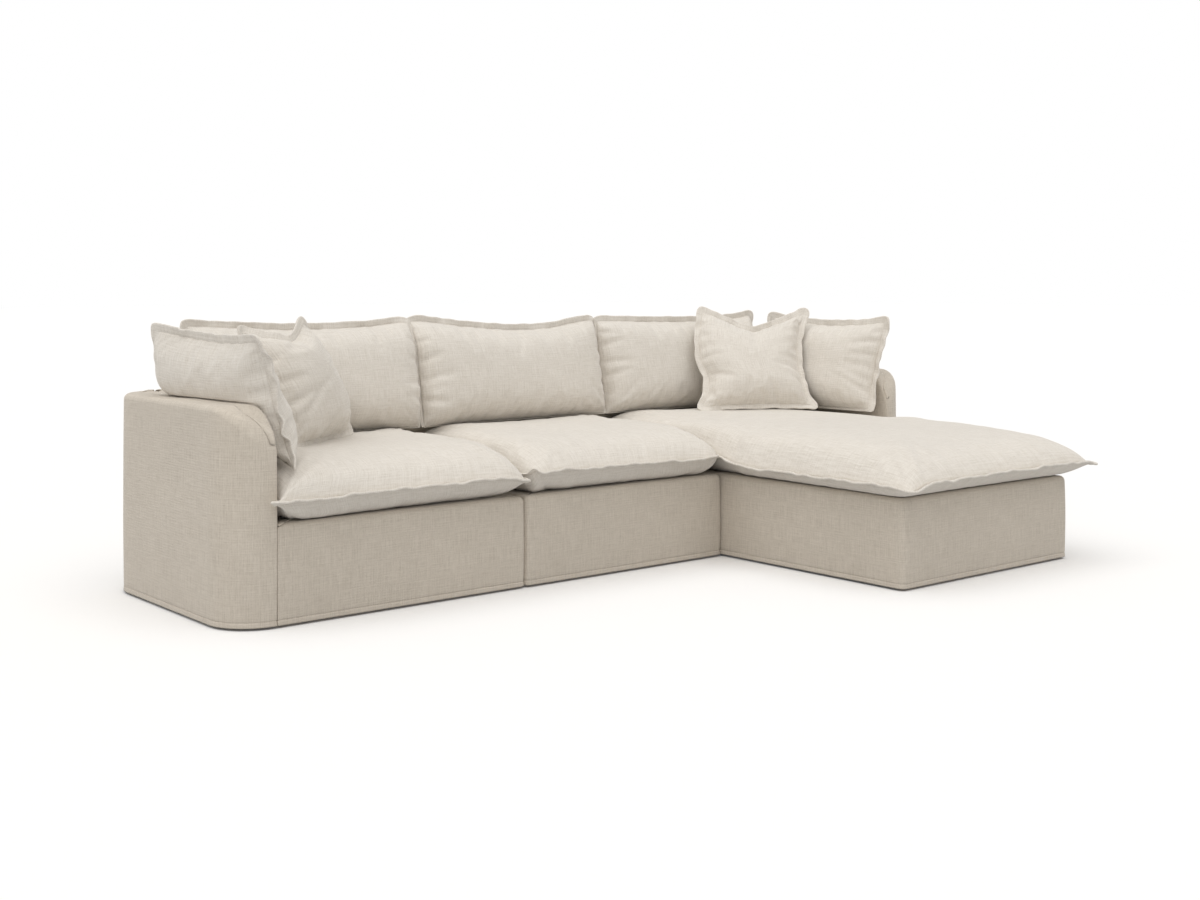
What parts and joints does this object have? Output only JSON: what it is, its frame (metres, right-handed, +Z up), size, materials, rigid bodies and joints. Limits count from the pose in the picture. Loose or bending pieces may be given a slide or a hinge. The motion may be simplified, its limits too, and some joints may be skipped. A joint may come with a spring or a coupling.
{
  "type": "sectional sofa with chaise",
  "caption": "Low modular sectional sofa with a chaise on the right, rounded arms, loose-fitted linen covers, knife-edge seat, back and side cushions and throw pillows.",
  "frame": {"origin": "on the floor at the middle of the whole sofa's box", "axes": "+Z up, +Y towards the back, +X along the sofa towards the chaise"},
  "size_m": [3.1202, 1.843, 0.9498],
  "materials": {
    "cover_fabric": "oatmeal slub linen weave, matt",
    "cushion_fabric": "oatmeal slub linen weave, matt",
    "filling": "foam core and fibre filling",
    "foam": "polyurethane foam",
    "timber": "raw plywood and softwood",
    "webbing": "elastic webbing",
    "dust_cloth": "black non-woven cloth",
    "glide_plastic": "moulded black plastic",
    "steel": "zinc-plated steel"
  },
  "bodies": {
    "left_unit": {"left_arm_cover": "cover_fabric", "left_arm_frame": "timber", "left_arm_pad": "foam", "left_back_cover": "cover_fabric", "left_back_frame": "timber", "left_back_pad": "foam", "left_base_cover": "cover_fabric", "left_connector_tongues": "steel", "left_deck_pad": "foam", "left_dust_cover": "dust_cloth", "left_fasteners": "steel", "left_glides": "glide_plastic", "left_seat_frame": "timber", "left_webbing": "webbing"},
    "left_seat_cushion": {"left_seat_cushion_cover": "cushion_fabric", "left_seat_cushion_insert": "filling"},
    "left_back_cushion": {"left_back_cushion_cover": "cushion_fabric", "left_back_cushion_insert": "filling"},
    "middle_unit": {"middle_back_cover": "cover_fabric", "middle_back_frame": "timber", "middle_back_pad": "foam", "middle_base_cover": "cover_fabric", "middle_connector_jaws": "steel", "middle_deck_pad": "foam", "middle_dust_cover": "dust_cloth", "middle_fasteners": "steel", "middle_glides": "glide_plastic", "middle_seat_frame": "timber", "middle_webbing": "webbing"},
    "middle_seat_cushion": {"middle_seat_cushion_cover": "cushion_fabric", "middle_seat_cushion_insert": "filling"},
    "middle_back_cushion": {"middle_back_cushion_cover": "cushion_fabric", "middle_back_cushion_insert": "filling"},
    "chaise_unit": {"chaise_arm_cover": "cover_fabric", "chaise_arm_frame": "timber", "chaise_arm_pad": "foam", "chaise_back_cover": "cover_fabric", "chaise_back_frame": "timber", "chaise_back_pad": "foam", "chaise_base_cover": "cover_fabric", "chaise_connector_tongues": "steel", "chaise_deck_pad": "foam", "chaise_dust_cover": "dust_cloth", "chaise_fasteners": "steel", "chaise_glides": "glide_plastic", "chaise_seat_frame": "timber", "chaise_webbing": "webbing"},
    "chaise_seat_cushion": {"chaise_seat_cushion_cover": "cushion_fabric", "chaise_seat_cushion_insert": "filling"},
    "chaise_back_cushion": {"chaise_back_cushion_cover": "cushion_fabric", "chaise_back_cushion_insert": "filling"},
    "left_side_cushion": {"left_side_cushion_cover": "cushion_fabric", "left_side_cushion_insert": "filling"},
    "left_throw_pillow": {"left_throw_pillow_cover": "cushion_fabric", "left_throw_pillow_insert": "filling"},
    "right_side_cushion": {"right_side_cushion_cover": "cushion_fabric", "right_side_cushion_insert": "filling"},
    "right_throw_pillow": {"right_throw_pillow_cover": "cushion_fabric", "right_throw_pillow_insert": "filling"}
  },
  "joints": [
    {"name": "left_unit_uncouple", "type": "slide", "parent": "middle_unit", "child": "left_unit", "axis": [-1, 0, 0], "range_m": [0, 0.25]},
    {"name": "chaise_unit_uncouple", "type": "slide", "parent": "middle_unit", "child": "chaise_unit", "axis": [1, 0, 0], "range_m": [0, 0.25]},
    {"name": "left_seat_cushion_lift", "type": "slide", "parent": "left_unit", "child": "left_seat_cushion", "axis": [0, 0, 1], "range_m": [0, 0.3]},
    {"name": "middle_seat_cushion_lift", "type": "slide", "parent": "middle_unit", "child": "middle_seat_cushion", "axis": [0, 0, 1], "range_m": [0, 0.3]},
    {"name": "chaise_seat_cushion_lift", "type": "slide", "parent": "chaise_unit", "child": "chaise_seat_cushion", "axis": [0, 0, 1], "range_m": [0, 0.3]},
    {"name": "left_back_cushion_lift", "type": "slide", "parent": "left_seat_cushion", "child": "left_back_cushion", "axis": [0, 0.2079, 0.9781], "range_m": [0, 0.3]},
    {"name": "middle_back_cushion_lift", "type": "slide", "parent": "middle_seat_cushion", "child": "middle_back_cushion", "axis": [0, 0.2079, 0.9781], "range_m": [0, 0.3]},
    {"name": "chaise_back_cushion_lift", "type": "slide", "parent": "chaise_seat_cushion", "child": "chaise_back_cushion", "axis": [0, 0.2079, 0.9781], "range_m": [0, 0.3]},
    {"name": "left_side_cushion_lift", "type": "slide", "parent": "left_seat_cushion", "child": "left_side_cushion", "axis": [-0.342, 0, 0.9397], "range_m": [0, 0.3]},
    {"name": "right_side_cushion_lift", "type": "slide", "parent": "chaise_seat_cushion", "child": "right_side_cushion", "axis": [0.342, 0, 0.9397], "range_m": [0, 0.3]},
    {"name": "left_throw_pillow_lift", "type": "slide", "parent": "left_back_cushion", "child": "left_throw_pillow", "axis": [0, 0, 1], "range_m": [0, 0.25]},
    {"name": "right_throw_pillow_lift", "type": "slide", "parent": "chaise_back_cushion", "child": "right_throw_pillow", "axis": [0, 0, 1], "range_m": [0, 0.25]}
  ]
}
